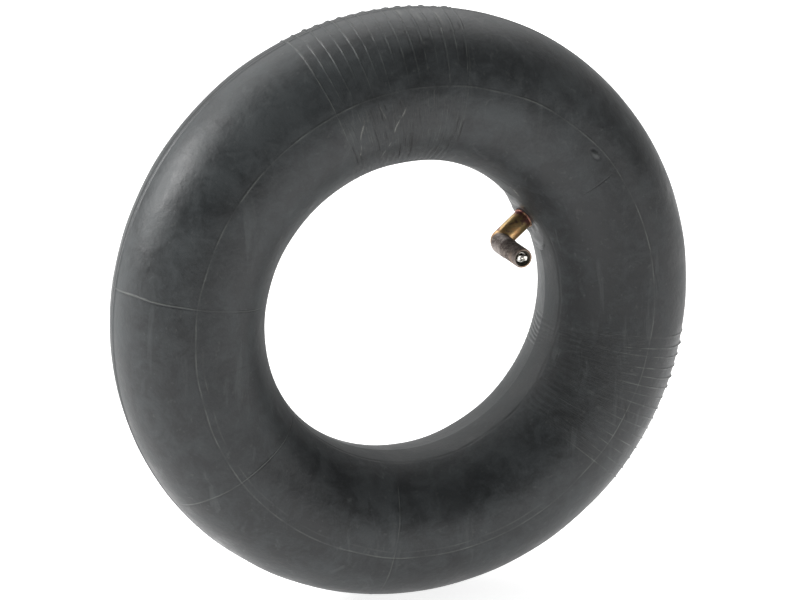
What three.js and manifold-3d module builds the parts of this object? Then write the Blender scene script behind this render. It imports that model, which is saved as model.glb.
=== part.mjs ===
// Butyl inner tube for a small pneumatic wheel, with a bent brass valve and its spring core.
// Millimetres, +Z up. The ring's axis is Y, its front face looks along -Y, and its centre is the origin.
import * as THREE from "three";
import { mergeVertices } from "three/addons/utils/BufferGeometryUtils.js";
import Module from "manifold-3d";

const wasm = await Module();
wasm.setup();

// ---------------------------------------------------------------- driving dimensions

// Air ring
const RING_R = 88.5; // ring's centre to the middle of its round section
const SECTION_R = 29.7; // outside radius of the round section
const WALL = 1.8; // rubber thickness
const RING_STEPS = 60; // facets round the outside, and round its section
const SECTION_STEPS = 20;
const AIR_RING_STEPS = 48; // facets round the air space, and round its section
const AIR_SECTION_STEPS = 16;

// Where the valve stands
const VALVE_ANGLE = THREE.MathUtils.degToRad(31.4); // from +X towards +Z
const STEM_LEAN = THREE.MathUtils.degToRad(17); // root leg's tilt towards the front face

// Bent stem
const STEM_R = 4.05;
const ROOT_LEG = 15.2; // tube's surface to the corner of the two axes
const MOUTH_LEG = 25.2; // corner of the two axes to the mouth
const BEND_R = 6.5; // bend radius of the stem's axis
const BEND_SQUASH = 0.35; // how much the bend flattens on each side
const AIR_R = 1.6; // air passage through the bend and the root leg
const COLLAR_STEP = 0.35; // how far the collar stands out from the stem
const COLLAR_H = 0.7;
const FLANGE_STEP = 1.95; // disc that the rubber base grips
const FLANGE_T = 1.2;
const FLANGE_DEPTH = 2.4; // collar's underside to the flange
const SPIGOT_R = 2.6;
const SPIGOT_LENGTH = 1.3;

// Cap thread, outside the mouth leg
const CAP_THREAD_R = 3.87;
const CAP_THREAD_PITCH = 0.794;
const CAP_THREAD_DEPTH = 0.46;
const CAP_THREAD_LENGTH = 14;
const MOUTH_CHAMFER = 0.27;
const COUNTERSINK_STEP = 0.33; // wider than the core thread
const COUNTERSINK_DEPTH = 0.6;

// Core thread, inside the mouth leg
const CORE_THREAD_R = 2.62;
const CORE_THREAD_PITCH = 0.7056;
const CORE_THREAD_DEPTH = 0.31;
const CORE_THREAD_SPARE = 2; // thread left below the screwed-in plug

// Seat and chamber under the core thread
const SEAT_TOP = 11.9;
const SEAT_LENGTH = 1.2;
const SEAT_WIDTH = 0.285; // ledge between the bore and the chamber
const CHAMBER_TAPER = 0.4;

// Rubber base of the valve
const PAD_T = 1.0; // thickness above the tube's surface, near the stem
const PAD_EDGE_T = 0.3;
const BOSS_WALL = 2; // rubber round the stem's flange, through the tube's wall
const BOSS_FLOOR_T = 1.6; // rubber under the flange
const SKIRT_WIDTH = 4; // skirt on the tube's surface, round the boss
const DISH_WIDTH = 0.95; // sunken seat round the collar
const DISH_SLOPE = 1.1; // run out for each millimetre of rise

// Core: heights are depths below the mouth
const PIN_R = 0.55;
const PIN_TOP = 0.35;
const PIN_STOP_TOP = 11.2;
const PIN_STOP_T = 0.4;
const PIN_RIVET = 0.05; // end of the pin, proud of the cup
const BRIDGE_TOP = 0.6;
const BRIDGE_WIDTH = 2.2;
const BRIDGE_ANGLE = THREE.MathUtils.degToRad(128);
const PLUG_TOP = 1.9;
const PLUG_THREAD_LENGTH = 5.5;
const PLUG_WALL = 0.79; // between the plug's bore and its thread root
const PLUG_POCKET_WALL = 0.34; // round the barrel's flange
const PLUG_LIP_T = 0.5;
const BARREL_SUNK = 0.5; // barrel's top, below the plug's thread
const BARREL_FLANGE_T = 0.8;
const BARREL_NECK_WALL = 0.25;
const BARREL_GROOVE_WALL = 0.4; // under the gasket
const BARREL_TAIL_WALL = 0.65;
const BARREL_TAIL_LENGTH = 4.26; // below the gasket
const BARREL_FLOOR_T = 0.6;
const GASKET_BAND = 0.6; // straight part above the gasket's cone
const SPRING_WIRE_R = 0.11;
const SPRING_TURNS = 7;
const SEAL_T = 0.65;
const CUP_WALL = 0.28;
const CUP_DEPTH = 0.45; // how deep the seal sits in its cup
const CUP_FLOOR_T = 0.4;

// Clearances
const RUBBER_GAP = 0.1; // between bonded rubber and what it is bonded to
const WALL_GAP = 0.3; // round the rubber boss in the tube's wall
const THREAD_FIT = 0.07; // radial play in a thread
const SLIDE_FIT = 0.1; // radial play of sliding and turning pieces
const BARREL_PLAY = 0.31; // air space round the barrel, above the seat
const TAIL_PLAY = 0.225; // air space round the barrel, below the seat
const CHAMBER_PLAY = 0.175; // round the cup
const SEAT_FIT = 0.06; // between the gasket and its seat
const CRIMP_GAP = 0.05; // between pieces that are crimped together
const SWIVEL_PLAY = 0.2; // along the axis, between the plug's lip and the barrel's flange
const SPRING_PLAY = 0.18; // between the spring and the pin
const STOP_PLAY = 0.2; // between the pin's stop and the barrel's bore
const PORT_GAP = 0.25; // air passage round the pin, through the barrel's floor
const BRIDGE_PLAY = 0.17; // round the pin, in the bridge
const OVERRUN = 1; // how far a cutting body reaches past what it cuts
const SLIVER = 0.01; // keeps two cutting surfaces from lying in each other

const TURN_STEPS = 20;
const BEND_STEPS = 8;

// ---------------------------------------------------------------- sizes that follow

const COLLAR_R = STEM_R + COLLAR_STEP;
const FLANGE_R = STEM_R + FLANGE_STEP;
const FLANGE_END = FLANGE_DEPTH + FLANGE_T; // depths under the collar
const BOSS_R = FLANGE_R + BOSS_WALL;
const BOSS_DEPTH = FLANGE_END + BOSS_FLOOR_T;
const PAD_R = BOSS_R + SKIRT_WIDTH;
const DISH_FLOOR_R = COLLAR_R + DISH_WIDTH;

const CORE_BORE_R = CORE_THREAD_R - CORE_THREAD_DEPTH;
const CHAMBER_R = CORE_BORE_R - SEAT_WIDTH;
const PLUG_ROOT_R = CORE_BORE_R - THREAD_FIT;
const PLUG_SKIRT_R = PLUG_ROOT_R - CRIMP_GAP;
const PLUG_BORE_R = PLUG_ROOT_R - PLUG_WALL;
const POCKET_R = PLUG_SKIRT_R - PLUG_POCKET_WALL;
const BARREL_FLANGE_R = POCKET_R - SLIDE_FIT;
const BARREL_R = CORE_BORE_R - BARREL_PLAY;
const BARREL_TAIL_R = CHAMBER_R - TAIL_PLAY;
const BARREL_BORE_R = BARREL_TAIL_R - BARREL_TAIL_WALL;
const BARREL_NECK_R = BARREL_BORE_R + BARREL_NECK_WALL;
const GASKET_GROOVE_R = BARREL_BORE_R + BARREL_GROOVE_WALL;
const GASKET_BORE_R = GASKET_GROOVE_R + SLIDE_FIT;
const PIN_STOP_R = BARREL_BORE_R - STOP_PLAY;
const SPRING_R = PIN_R + SPRING_PLAY + SPRING_WIRE_R;
const CUP_R = CHAMBER_R - CHAMBER_PLAY;
const SEAL_R = CUP_R - CUP_WALL - CRIMP_GAP;

const PLUG_THREAD_END = PLUG_TOP + PLUG_THREAD_LENGTH;
const BARREL_TOP = PLUG_THREAD_END + BARREL_SUNK;
const POCKET_END = BARREL_TOP + BARREL_FLANGE_T + SWIVEL_PLAY;
const PLUG_END = POCKET_END + PLUG_LIP_T;
const GASKET_TOP = SEAT_TOP - GASKET_BAND;
const GASKET_END = SEAT_TOP + SEAT_LENGTH - SEAT_FIT;
const BARREL_END = GASKET_END + BARREL_TAIL_LENGTH;
const BARREL_FLOOR = BARREL_END - BARREL_FLOOR_T;
const SEAL_TOP = BARREL_END + CRIMP_GAP;
const CUP_FLOOR = SEAL_TOP + SEAL_T + CRIMP_GAP;

// ---------------------------------------------------------------- solids

function toSolid(geometry) {
  const bare = geometry.clone();
  bare.deleteAttribute("normal");
  bare.deleteAttribute("uv");
  const merged = mergeVertices(bare, 1e-4);
  return new wasm.Manifold(
    new wasm.Mesh({
      numProp: 3,
      vertProperties: new Float32Array(merged.attributes.position.array),
      triVerts: new Uint32Array(merged.index.array),
    }),
  );
}

function toGeometry(solid) {
  const mesh = solid.getMesh();
  const geometry = new THREE.BufferGeometry();
  geometry.setAttribute("position", new THREE.BufferAttribute(new Float32Array(mesh.vertProperties), 3));
  geometry.setIndex(new THREE.BufferAttribute(new Uint32Array(mesh.triVerts), 1));
  geometry.computeVertexNormals();
  return geometry;
}

// A closed body from points and triangles.
function closedBody(points, triangles) {
  const geometry = new THREE.BufferGeometry().setFromPoints(points);
  geometry.setIndex(triangles);
  return geometry;
}

// A closed body through rings that each have the same number of points, with a flat cap at either end.
function loft(rings) {
  const count = rings[0].length;
  const points = rings.flat();
  const triangles = [];
  for (let k = 0; k + 1 < rings.length; k++) {
    for (let i = 0; i < count; i++) {
      const next = (i + 1) % count;
      const low = k * count;
      const high = low + count;
      triangles.push(low + i, low + next, high + next, low + i, high + next, high + i);
    }
  }
  const middleOf = (ring) => ring.reduce((sum, p) => sum.add(p), new THREE.Vector3()).divideScalar(count);
  const first = points.push(middleOf(rings[0])) - 1;
  const last = points.push(middleOf(rings[rings.length - 1])) - 1;
  const lastRing = (rings.length - 1) * count;
  for (let i = 0; i < count; i++) {
    const next = (i + 1) % count;
    triangles.push(first, next, i, last, lastRing + i, lastRing + next);
  }
  return closedBody(points, triangles);
}

// A body turned about Z from [radius, height] pairs, which go up the outside.
function turned(profile, steps = TURN_STEPS) {
  const points = profile.map(([radius, height]) => new THREE.Vector2(radius, height));
  return new THREE.LatheGeometry(points, steps).rotateX(Math.PI / 2);
}

function rod(radius, from, to) {
  return turned([
    [0, from],
    [radius, from],
    [radius, to],
    [0, to],
  ]);
}

// A right-hand screw about Z, from one height to another. Screws of one pitch are in step with each other.
function screw(rootR, crestR, pitch, from, to) {
  const firstTurn = Math.floor(from / pitch) - 2;
  const rows = 2 * (Math.ceil((to - from) / pitch) + 4);
  const points = [];
  const triangles = [];
  const at = (row, step) => (step === TURN_STEPS ? at(row + 2, 0) : row * TURN_STEPS + step);
  for (let row = 0; row <= rows + 2; row++) {
    const radius = row % 2 ? crestR : rootR;
    for (let step = 0; step < TURN_STEPS; step++) {
      const angle = (2 * Math.PI * step) / TURN_STEPS;
      const height = pitch * (firstTurn + row / 2 + step / TURN_STEPS);
      points.push(new THREE.Vector3(radius * Math.cos(angle), radius * Math.sin(angle), height));
    }
  }
  for (let row = 0; row < rows; row++) {
    for (let step = 0; step < TURN_STEPS; step++) {
      triangles.push(at(row, step), at(row, step + 1), at(row + 1, step + 1));
      triangles.push(at(row, step), at(row + 1, step + 1), at(row + 1, step));
    }
  }
  const edge = (row) => [...Array(TURN_STEPS + 1).keys()].map((step) => at(row, step)).concat(at(row + 1, 0));
  const low = points.push(new THREE.Vector3(0, 0, points[0].z)) - 1;
  const high = points.push(new THREE.Vector3(0, 0, points[at(rows, TURN_STEPS)].z)) - 1;
  const lowEdge = edge(0);
  const highEdge = edge(rows);
  for (let i = 0; i < lowEdge.length; i++) {
    const next = (i + 1) % lowEdge.length;
    triangles.push(low, lowEdge[next], lowEdge[i], high, highEdge[i], highEdge[next]);
  }
  const used = closedBody(points, triangles);
  return toSolid(used).intersect(toSolid(rod(crestR + OVERRUN, from, to)));
}

// ---------------------------------------------------------------- valve frame

// The valve is drawn with its mouth at the origin, +Z into the stem and +X away from the ring's centre.
const TURN = Math.PI / 2 - STEM_LEAN;
const TANGENT = BEND_R * Math.tan(TURN / 2);
const BEND_START = MOUTH_LEG - TANGENT;
const BEND_END = BEND_START + BEND_R * TURN;
const ROOT = BEND_END + ROOT_LEG - TANGENT; // path length from the mouth to the collar's underside

const valveFrame = new THREE.Group();
valveFrame.rotation.set(-Math.PI / 2, 0, 0);
valveFrame.rotateZ(-VALVE_ANGLE);
const mouthFromAxis = RING_R - SECTION_R - ROOT_LEG * Math.cos(STEM_LEAN);
valveFrame.position.set(
  mouthFromAxis * Math.cos(VALVE_ANGLE),
  -MOUTH_LEG - ROOT_LEG * Math.sin(STEM_LEAN),
  mouthFromAxis * Math.sin(VALVE_ANGLE),
);
valveFrame.updateMatrixWorld();

function inRing(geometry) {
  return toSolid(geometry.clone().applyMatrix4(valveFrame.matrixWorld));
}

// The stem's axis at a path length from the mouth, as a matrix: Z runs along it, and X points into the bend.
function stemAxis(length) {
  const turn = THREE.MathUtils.clamp((length - BEND_START) / BEND_R, 0, TURN);
  const before = Math.min(length, BEND_START);
  const after = Math.max(length - BEND_END, 0);
  return new THREE.Matrix4()
    .makeTranslation(BEND_R, 0, before)
    .multiply(new THREE.Matrix4().makeRotationY(turn))
    .multiply(new THREE.Matrix4().makeTranslation(-BEND_R, 0, after));
}

// A round body that follows the stem's axis, from [path length, radius] pairs. The bend flattens it a little.
function alongStem(profile, squash = 0) {
  const inBend = [...Array(BEND_STEPS + 1).keys()].map(
    (step) => BEND_START + ((BEND_END - BEND_START) * step) / BEND_STEPS,
  );
  const bendRadius = profile.findLast(([length]) => length <= BEND_START)[1];
  const rings = [
    ...profile.filter(([length]) => length <= BEND_START),
    ...inBend.map((length) => [length, bendRadius]),
    ...profile.filter(([length]) => length > BEND_END),
  ];
  return loft(
    rings.map(([length, radius]) => {
      const into = THREE.MathUtils.clamp((length - BEND_START) / (BEND_END - BEND_START), 0, 1);
      const flat = squash * Math.sin(Math.PI * into);
      const axis = stemAxis(length);
      return [...Array(TURN_STEPS).keys()].map((step) => {
        const angle = (2 * Math.PI * step) / TURN_STEPS;
        const across = (radius - flat) * Math.cos(angle);
        const beside = (radius + flat / 2) * Math.sin(angle);
        return new THREE.Vector3(across, beside, 0).applyMatrix4(axis);
      });
    }),
  );
}

// A body turned about the root leg's axis, from [radius, depth under the collar] pairs.
function underCollar(profile) {
  return inRing(turned(profile).applyMatrix4(stemAxis(ROOT)));
}

// ---------------------------------------------------------------- air ring and rubber base

function ringBody(radius, ringSteps, sectionSteps) {
  return toSolid(new THREE.TorusGeometry(RING_R, radius, sectionSteps, ringSteps).rotateX(Math.PI / 2));
}

function makeTubeBody() {
  const outside = ringBody(SECTION_R, RING_STEPS, SECTION_STEPS);
  const airSpace = ringBody(SECTION_R - WALL, AIR_RING_STEPS, AIR_SECTION_STEPS);
  const valveHole = underCollar([
    [0, -BOSS_R],
    [BOSS_R + WALL_GAP, -BOSS_R],
    [BOSS_R + WALL_GAP, 2 * BOSS_R],
    [0, 2 * BOSS_R],
  ]);
  return toGeometry(outside.subtract(airSpace).subtract(valveHole));
}

// A point above the ring's inner surface. Along and across are distances on it from the valve's root.
function onInnerSurface(along, across, height) {
  const ringAngle = VALVE_ANGLE + along / (RING_R - SECTION_R);
  const sectionAngle = across / SECTION_R;
  const radius = SECTION_R + height;
  const fromAxis = RING_R - radius * Math.cos(sectionAngle);
  return new THREE.Vector3(
    fromAxis * Math.cos(ringAngle),
    radius * Math.sin(sectionAngle),
    fromAxis * Math.sin(ringAngle),
  );
}

// The skirt's underside is cut parallel to the tube's own facets.
function makeValvePad() {
  const ringAt = (radius, height) =>
    [...Array(TURN_STEPS).keys()].map((step) => {
      const angle = (2 * Math.PI * step) / TURN_STEPS;
      return onInnerSurface(radius * Math.cos(angle), radius * Math.sin(angle), height);
    });
  const middleR = BOSS_R + SKIRT_WIDTH / 2;
  const middleT = (PAD_T + PAD_EDGE_T) / 2;
  const skirt = loft([
    ringAt(AIR_R, -OVERRUN),
    ringAt(PAD_R, -OVERRUN),
    ringAt(PAD_R, RUBBER_GAP + PAD_EDGE_T),
    ringAt(middleR, RUBBER_GAP + middleT),
    ringAt(BOSS_R, RUBBER_GAP + PAD_T),
    ringAt(AIR_R, RUBBER_GAP + PAD_T),
  ]);
  const boss = underCollar([
    [0, RUBBER_GAP],
    [BOSS_R, RUBBER_GAP],
    [BOSS_R, BOSS_DEPTH],
    [0, BOSS_DEPTH],
  ]);
  const dish = underCollar([
    [0, -BOSS_R],
    [DISH_FLOOR_R + DISH_SLOPE * BOSS_R, -BOSS_R],
    [DISH_FLOOR_R, RUBBER_GAP],
    [0, RUBBER_GAP],
  ]);
  const stemPocket = underCollar([
    [0, -OVERRUN],
    [STEM_R + RUBBER_GAP, -OVERRUN],
    [STEM_R + RUBBER_GAP, FLANGE_DEPTH - RUBBER_GAP],
    [FLANGE_R + RUBBER_GAP, FLANGE_DEPTH - RUBBER_GAP],
    [FLANGE_R + RUBBER_GAP, FLANGE_END + RUBBER_GAP],
    [SPIGOT_R + RUBBER_GAP, FLANGE_END + RUBBER_GAP],
    [SPIGOT_R + RUBBER_GAP, BOSS_DEPTH + OVERRUN],
    [0, BOSS_DEPTH + OVERRUN],
  ]);
  const tube = ringBody(SECTION_R + RUBBER_GAP, RING_STEPS, SECTION_STEPS);
  return toGeometry(toSolid(skirt).subtract(tube).add(boss).subtract(dish).subtract(stemPocket));
}

// ---------------------------------------------------------------- stem

function makeValveStem() {
  const capRootR = CAP_THREAD_R - CAP_THREAD_DEPTH;
  const flangeEnd = ROOT + FLANGE_END;
  const outside = alongStem(
    [
      [CAP_THREAD_LENGTH - OVERRUN, capRootR - THREAD_FIT],
      [CAP_THREAD_LENGTH, capRootR - THREAD_FIT],
      [CAP_THREAD_LENGTH + STEM_R - capRootR, STEM_R],
      [ROOT - COLLAR_H, STEM_R],
      [ROOT - COLLAR_H, COLLAR_R - COLLAR_H / 3],
      [ROOT - COLLAR_H * 0.6, COLLAR_R],
      [ROOT, COLLAR_R],
      [ROOT, STEM_R],
      [ROOT + FLANGE_DEPTH, STEM_R],
      [ROOT + FLANGE_DEPTH, FLANGE_R],
      [flangeEnd, FLANGE_R],
      [flangeEnd, SPIGOT_R],
      [flangeEnd + SPIGOT_LENGTH, SPIGOT_R],
    ],
    BEND_SQUASH,
  );
  const mouthEnvelope = turned([
    [0, 0],
    [CAP_THREAD_R - MOUTH_CHAMFER, 0],
    [CAP_THREAD_R + OVERRUN, MOUTH_CHAMFER + OVERRUN],
    [CAP_THREAD_R + OVERRUN, CAP_THREAD_LENGTH + OVERRUN],
    [0, CAP_THREAD_LENGTH + OVERRUN],
  ]);
  const capThread = screw(capRootR, CAP_THREAD_R, CAP_THREAD_PITCH, 0, CAP_THREAD_LENGTH + THREAD_FIT);
  const passage = alongStem([
    [-OVERRUN, CORE_THREAD_R + COUNTERSINK_STEP],
    [0, CORE_THREAD_R + COUNTERSINK_STEP],
    [COUNTERSINK_DEPTH, CORE_BORE_R],
    [SEAT_TOP, CORE_BORE_R],
    [SEAT_TOP + SEAT_LENGTH, CHAMBER_R],
    [BEND_START - CHAMBER_TAPER, CHAMBER_R],
    [BEND_START, AIR_R],
    [flangeEnd + SPIGOT_LENGTH + OVERRUN, AIR_R],
  ]);
  const coreThreadEnd = PLUG_THREAD_END + CORE_THREAD_SPARE;
  const threadRootR = CORE_BORE_R - SLIVER;
  const coreThread = screw(threadRootR, CORE_THREAD_R, CORE_THREAD_PITCH, -OVERRUN, coreThreadEnd);
  return toGeometry(
    toSolid(outside)
      .add(capThread.intersect(toSolid(mouthEnvelope)))
      .subtract(toSolid(passage))
      .subtract(coreThread),
  );
}

// ---------------------------------------------------------------- core

// Threaded swivel plug with the flat bridge that a core key turns.
function makeCorePlug() {
  const thread = screw(PLUG_ROOT_R, CORE_THREAD_R - THREAD_FIT, CORE_THREAD_PITCH, PLUG_TOP, PLUG_THREAD_END);
  const skirt = toSolid(rod(PLUG_SKIRT_R, PLUG_THREAD_END - OVERRUN, PLUG_END));
  const pocketTop = BARREL_TOP - SLIDE_FIT;
  const bore = turned([
    [0, PLUG_TOP - OVERRUN],
    [PLUG_BORE_R, PLUG_TOP - OVERRUN],
    [PLUG_BORE_R, pocketTop],
    [POCKET_R, pocketTop],
    [POCKET_R, POCKET_END],
    [BARREL_NECK_R + SLIDE_FIT, POCKET_END],
    [BARREL_NECK_R + SLIDE_FIT, PLUG_END + OVERRUN],
    [0, PLUG_END + OVERRUN],
  ]);
  const bridgeHeight = PLUG_TOP + OVERRUN - BRIDGE_TOP;
  const bar = new THREE.BoxGeometry(BRIDGE_WIDTH, 2 * CORE_THREAD_R, bridgeHeight)
    .translate(0, 0, BRIDGE_TOP + bridgeHeight / 2)
    .rotateZ(BRIDGE_ANGLE);
  const bridge = toSolid(bar).intersect(toSolid(rod(PLUG_SKIRT_R, 0, PLUG_THREAD_END)));
  const pinHole = toSolid(rod(PIN_R + BRIDGE_PLAY, 0, PLUG_THREAD_END));
  return toGeometry(thread.add(skirt).subtract(toSolid(bore)).add(bridge).subtract(pinHole));
}

function makeCoreBarrel() {
  const shoulder = PLUG_END + SWIVEL_PLAY;
  return turned([
    [BARREL_BORE_R, BARREL_TOP],
    [BARREL_FLANGE_R, BARREL_TOP],
    [BARREL_FLANGE_R, BARREL_TOP + BARREL_FLANGE_T],
    [BARREL_NECK_R, BARREL_TOP + BARREL_FLANGE_T],
    [BARREL_NECK_R, shoulder],
    [BARREL_R, shoulder + BARREL_R - BARREL_NECK_R],
    [BARREL_R, GASKET_TOP - CRIMP_GAP],
    [GASKET_GROOVE_R, GASKET_TOP - CRIMP_GAP],
    [GASKET_GROOVE_R, GASKET_END + CRIMP_GAP],
    [BARREL_TAIL_R, GASKET_END + CRIMP_GAP],
    [BARREL_TAIL_R, BARREL_END],
    [PIN_R + PORT_GAP, BARREL_END],
    [PIN_R + PORT_GAP, BARREL_FLOOR],
    [BARREL_BORE_R, BARREL_FLOOR],
    [BARREL_BORE_R, BARREL_TOP],
  ]);
}

// Sealing ring on the barrel: its cone lies on the seat in the stem.
function makeCoreGasket() {
  return turned([
    [GASKET_BORE_R, GASKET_TOP],
    [CORE_BORE_R - SEAT_FIT, GASKET_TOP],
    [CORE_BORE_R - SEAT_FIT, SEAT_TOP],
    [CHAMBER_R - SEAT_FIT, GASKET_END],
    [GASKET_BORE_R, GASKET_END],
    [GASKET_BORE_R, GASKET_TOP],
  ]);
}

function makeCorePin() {
  const tipRound = PIN_R / 3;
  const pinEnd = CUP_FLOOR + CUP_FLOOR_T + PIN_RIVET;
  return turned(
    [
      [0, PIN_TOP],
      [PIN_R - tipRound, PIN_TOP],
      [PIN_R, PIN_TOP + tipRound],
      [PIN_R, PIN_STOP_TOP],
      [PIN_STOP_R, PIN_STOP_TOP],
      [PIN_STOP_R, PIN_STOP_TOP + PIN_STOP_T],
      [PIN_R, PIN_STOP_TOP + PIN_STOP_T],
      [PIN_R, pinEnd],
      [0, pinEnd],
    ],
    TURN_STEPS / 2,
  );
}

function makeCoreCup() {
  const wallR = SEAL_R + CRIMP_GAP;
  return turned([
    [PIN_R + CRIMP_GAP, CUP_FLOOR],
    [wallR, CUP_FLOOR],
    [wallR, CUP_FLOOR - CUP_DEPTH],
    [CUP_R, CUP_FLOOR - CUP_DEPTH],
    [CUP_R, CUP_FLOOR + CUP_FLOOR_T / 2],
    [CUP_R - CUP_FLOOR_T / 2, CUP_FLOOR + CUP_FLOOR_T],
    [PIN_R + CRIMP_GAP, CUP_FLOOR + CUP_FLOOR_T],
    [PIN_R + CRIMP_GAP, CUP_FLOOR],
  ]);
}

function makeCoreCupSeal() {
  return turned([
    [PIN_R + CRIMP_GAP, SEAL_TOP],
    [SEAL_R, SEAL_TOP],
    [SEAL_R, SEAL_TOP + SEAL_T],
    [PIN_R + CRIMP_GAP, SEAL_TOP + SEAL_T],
    [PIN_R + CRIMP_GAP, SEAL_TOP],
  ]);
}

class Helix extends THREE.Curve {
  constructor(radius, from, to, turns) {
    super();
    Object.assign(this, { radius, from, to, turns });
  }
  getPoint(t, target = new THREE.Vector3()) {
    const angle = 2 * Math.PI * this.turns * t;
    const height = this.from + (this.to - this.from) * t;
    return target.set(this.radius * Math.cos(angle), this.radius * Math.sin(angle), height);
  }
}

// Return spring, between the stop on the pin and the barrel's floor.
function makeCoreSpring() {
  const endGap = SPRING_WIRE_R + CRIMP_GAP;
  const path = new Helix(
    SPRING_R,
    PIN_STOP_TOP + PIN_STOP_T + endGap,
    BARREL_FLOOR - endGap,
    SPRING_TURNS,
  );
  const wire = new THREE.Shape().absarc(0, 0, SPRING_WIRE_R, 0, 2 * Math.PI);
  return new THREE.ExtrudeGeometry(wire, {
    steps: SPRING_TURNS * 10,
    curveSegments: 3,
    bevelEnabled: false,
    extrudePath: path,
  });
}

// ---------------------------------------------------------------- assembly

function material(color, roughness, metalness) {
  return new THREE.MeshStandardMaterial({ color, roughness, metalness });
}

const butyl = material(0x3c3e3f, 0.62, 0);
const padRubber = material(0x444747, 0.66, 0);
const brass = material(0x8d7450, 0.42, 1);
const nickel = material(0xc4c1b6, 0.3, 1);
const barrelBrass = material(0xb08d4c, 0.35, 1);
const steel = material(0xbcc0c4, 0.3, 1);
const sealPlastic = material(0xb03a2c, 0.5, 0);
const sealRubber = material(0x202122, 0.7, 0);

function named(name, geometry, finish) {
  const mesh = new THREE.Mesh(geometry, finish);
  mesh.name = name;
  return mesh;
}

valveFrame.add(
  named("valve_stem", makeValveStem(), brass),
  named("core_plug", makeCorePlug(), nickel),
  named("core_barrel", makeCoreBarrel(), barrelBrass),
  named("core_gasket", makeCoreGasket(), sealPlastic),
  named("core_pin", makeCorePin(), nickel),
  named("core_spring", makeCoreSpring(), steel),
  named("core_cup", makeCoreCup(), barrelBrass),
  named("core_cup_seal", makeCoreCupSeal(), sealRubber),
);

const innerTube = new THREE.Group();
innerTube.add(
  named("tube_body", makeTubeBody(), butyl),
  named("valve_pad", makeValvePad(), padRubber),
  valveFrame,
);

export default innerTube;
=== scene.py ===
# %% [markdown]
# # An inner tube with a bent brass valve
# A small pneumatic wheel holds its air in a moulded butyl tube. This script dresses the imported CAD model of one:
# the rubber ring gets its moulding lines and ribs, the valve its threads and tarnish, and all of it is lit on a
# plain pale floor. The CAD model is loaded first, because every size and place below is taken from it.

# %% Load the CAD frame
import math

import bpy
import numpy as np
from mathutils import Matrix, Vector


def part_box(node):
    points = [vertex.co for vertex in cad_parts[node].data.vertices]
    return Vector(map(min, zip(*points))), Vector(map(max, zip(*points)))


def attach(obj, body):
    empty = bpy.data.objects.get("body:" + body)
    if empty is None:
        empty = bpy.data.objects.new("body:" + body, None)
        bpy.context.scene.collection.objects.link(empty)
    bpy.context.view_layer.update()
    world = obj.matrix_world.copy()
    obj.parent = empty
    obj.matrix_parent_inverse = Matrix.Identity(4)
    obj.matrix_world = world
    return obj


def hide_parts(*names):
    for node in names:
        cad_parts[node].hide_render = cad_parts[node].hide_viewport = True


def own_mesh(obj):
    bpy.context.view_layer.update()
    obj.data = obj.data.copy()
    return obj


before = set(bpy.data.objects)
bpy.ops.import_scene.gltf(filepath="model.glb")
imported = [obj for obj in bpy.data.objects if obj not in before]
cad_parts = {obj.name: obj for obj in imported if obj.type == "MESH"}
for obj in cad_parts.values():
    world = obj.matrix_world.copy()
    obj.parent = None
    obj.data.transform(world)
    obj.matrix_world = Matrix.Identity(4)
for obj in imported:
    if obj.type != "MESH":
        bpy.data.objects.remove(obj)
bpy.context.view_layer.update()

# %% [markdown]
# ## Sizes read from the frame
# The ring lies round the Y axis. Its box gives both radii: half the depth is the radius of the round section, and
# the rest of the half width is the ring's own radius. The valve's place comes from the box of the core's plug at its
# mouth, which gives the angle at which its mouth stands, and from the stem's box. Lengths are kept in millimetres
# here and turned into metres last.

# %% Read the ring and the valve
MM = 0.001
ring_low, ring_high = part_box("tube_body")
SECTION_R = ring_high.y / MM
RING_R = ring_high.x / MM - SECTION_R
INNER_R = RING_R - SECTION_R
plug_low, plug_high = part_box("core_plug")
mouth_x = (plug_low.x + plug_high.x) / 2 / MM
mouth_z = (plug_low.z + plug_high.z) / 2 / MM
VALVE_ANGLE = math.atan2(mouth_z, mouth_x)
MOUTH_FROM_AXIS = math.hypot(mouth_x, mouth_z)
MOUTH_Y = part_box("valve_stem")[0].y / MM
STEM_LEAN = math.radians(17)
MOUTH_LEG = 25.2
ROOT_LEG = (INNER_R - MOUTH_FROM_AXIS) / math.cos(STEM_LEAN)
print(f"ring {RING_R:.2f}, section {SECTION_R:.2f}, valve at {math.degrees(VALVE_ANGLE):.2f} degrees")
print(f"mouth {MOUTH_FROM_AXIS:.2f} from the axis at y {MOUTH_Y:.2f}, root leg {ROOT_LEG:.2f}")

# %% [markdown]
# ## Meshes from grids
# Nearly every surface here is a grid of points bent into shape: the ring closes on itself in both directions, and a
# turned part does as well once its outside and its bore are joined. One helper makes such a mesh from an array of
# points, so each piece only has to say where its points lie.

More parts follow.
